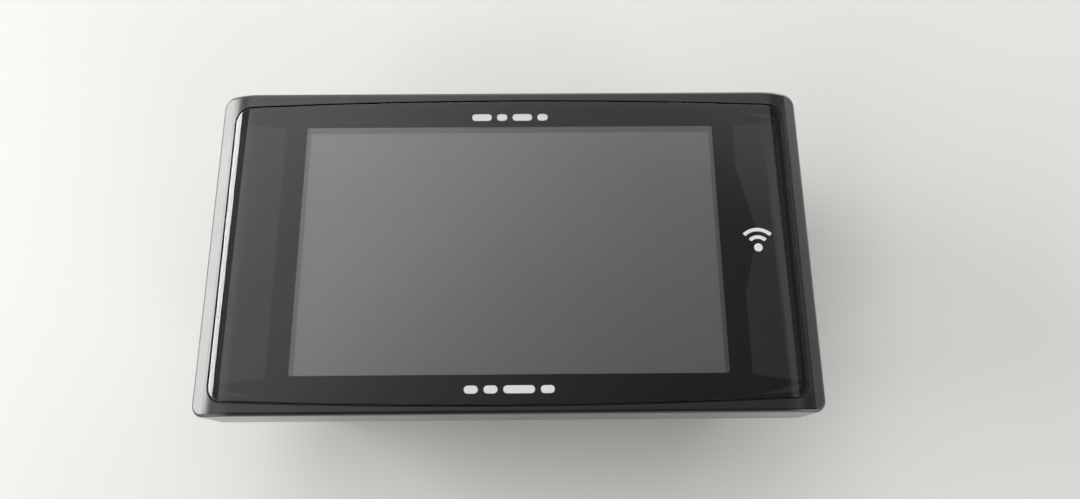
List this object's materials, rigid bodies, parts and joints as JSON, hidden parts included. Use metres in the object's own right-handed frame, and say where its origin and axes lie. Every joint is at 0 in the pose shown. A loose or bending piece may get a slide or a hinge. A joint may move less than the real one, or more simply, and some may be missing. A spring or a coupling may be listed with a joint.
{
  "type": "radar detector",
  "caption": "Compact dashboard radar detector lying on its back: wide glossy display face on a shallow frame, narrower receiver housing behind with keys, jacks, a card slot and a bracket slot.",
  "frame": {"origin": "centre of the bounding box at the back face, on which the object lies", "axes": "+X to the display's right, +Y to the display's upper edge, +Z out of the display"},
  "size_m": [0.0996, 0.055, 0.03],
  "materials": {
    "black_case": "satin black moulded plastic",
    "rear_case": "fine-textured black moulded plastic",
    "smoked_window": "glossy smoked acrylic",
    "black_print": "black printed film with small white marks",
    "adhesive": "black foam adhesive",
    "foam": "black closed-cell foam",
    "sheet_steel": "thin bright stamped steel",
    "lcd_face": "grey anti-glare display film",
    "lcd_cell": "display glass",
    "lcd_white": "white moulded tray",
    "light_guide": "clear acrylic light guide",
    "mirror_film": "silvered reflector film",
    "flex": "amber polyimide ribbon",
    "circuit_board": "green solder mask",
    "chip": "black moulded epoxy",
    "tinned_steel": "tinned steel can",
    "connector": "cream nylon",
    "battery_steel": "nickel-plated steel",
    "can_aluminium": "drawn aluminium can",
    "ferrite": "dark grey ferrite",
    "screw_steel": "black zinc-plated steel",
    "horn_alloy": "die-cast zinc alloy",
    "paper": "black treated paper",
    "copper": "enamelled copper",
    "ceramic": "tan ceramic",
    "silver_plate": "fired silver electrode",
    "key_plastic": "satin black key cap",
    "plunger": "red plunger",
    "card_plastic": "black card",
    "label_paper": "blank silver-grey label",
    "jack_plastic": "black nylon jack body",
    "pin_metal": "nickel-plated contact pin",
    "wire": "insulated lead"
  },
  "bodies": {
    "case": {"front_housing": "black_case", "front_window": "smoked_window", "window_mask_film": "black_print", "window_tape": "adhesive", "lcd_foam_gasket": "foam", "lcd_metal_frame": "sheet_steel", "lcd_polariser": "lcd_face", "lcd_front_glass": "lcd_cell", "lcd_rear_glass": "lcd_cell", "lcd_driver_chip": "chip", "lcd_tray": "lcd_white", "lcd_light_guide": "light_guide", "lcd_reflector": "mirror_film", "backlight_strip": "connector", "lcd_ribbon": "flex", "main_board": "circuit_board", "board_screws": "screw_steel", "processor": "chip", "memory_chips": "chip", "receiver_shield": "tinned_steel", "ribbon_connector": "connector", "backup_battery": "battery_steel", "power_capacitors": "can_aluminium", "power_inductor": "ferrite", "card_socket": "tinned_steel", "rear_housing": "rear_case", "rear_screws": "screw_steel", "rear_label": "label_paper", "horn_casting": "horn_alloy", "horn_board": "circuit_board", "horn_shield": "tinned_steel", "horn_header": "connector", "horn_screws": "screw_steel", "speaker_gasket": "foam", "speaker_basket": "tinned_steel", "speaker_surround": "adhesive", "speaker_magnet": "ferrite", "speaker_plug": "connector", "speaker_leads": "wire", "gps_board": "circuit_board", "gps_antenna": "ceramic", "gps_antenna_plate": "silver_plate", "gps_shield": "tinned_steel", "switch_board": "circuit_board", "switch_cases": "chip", "jack_board": "circuit_board", "power_jack": "jack_plastic", "link_jack": "jack_plastic", "power_jack_pin": "pin_metal"},
    "power_key": {"power_button": "key_plastic", "power_plunger": "plunger"},
    "menu_key": {"menu_button": "key_plastic", "menu_plunger": "plunger"},
    "volume_key": {"volume_rocker": "key_plastic"},
    "volume_down_switch": {"volume_down_plunger": "plunger"},
    "volume_up_switch": {"volume_up_plunger": "plunger"},
    "card": {"memory_card": "card_plastic"},
    "diaphragm": {"speaker_cone": "paper", "voice_coil": "copper"}
  },
  "joints": [
    {"name": "power_press", "type": "slide", "parent": "case", "child": "power_key", "axis": [0, -1, 0], "range_m": [0, 0.00035], "stiffness_N_per_m": 150},
    {"name": "menu_press", "type": "slide", "parent": "case", "child": "menu_key", "axis": [0, -1, 0], "range_m": [0, 0.00035], "stiffness_N_per_m": 150},
    {"name": "volume_down_press", "type": "slide", "parent": "case", "child": "volume_down_switch", "axis": [0, -1, 0], "range_m": [0, 0.00025], "stiffness_N_per_m": 150},
    {"name": "volume_up_press", "type": "slide", "parent": "case", "child": "volume_up_switch", "axis": [0, -1, 0], "range_m": [0, 0.00025], "stiffness_N_per_m": 150},
    {"name": "volume_rock", "type": "hinge", "parent": "case", "child": "volume_key", "pos_m": [-0.015, 0.0203, 0.009], "axis": [0, 0, 1], "range_deg": [-2.5, 2.5], "stiffness_Nm_per_rad": 0.003},
    {"name": "card_slide", "type": "slide", "parent": "case", "child": "card", "axis": [1, 0, 0], "range_m": [-0.0006, 0.0165]},
    {"name": "diaphragm_travel", "type": "slide", "parent": "case", "child": "diaphragm", "axis": [0, 0, 1], "range_m": [-0.0003, 0.0003], "stiffness_N_per_m": 400, "deforming": ["speaker_surround"]}
  ]
}
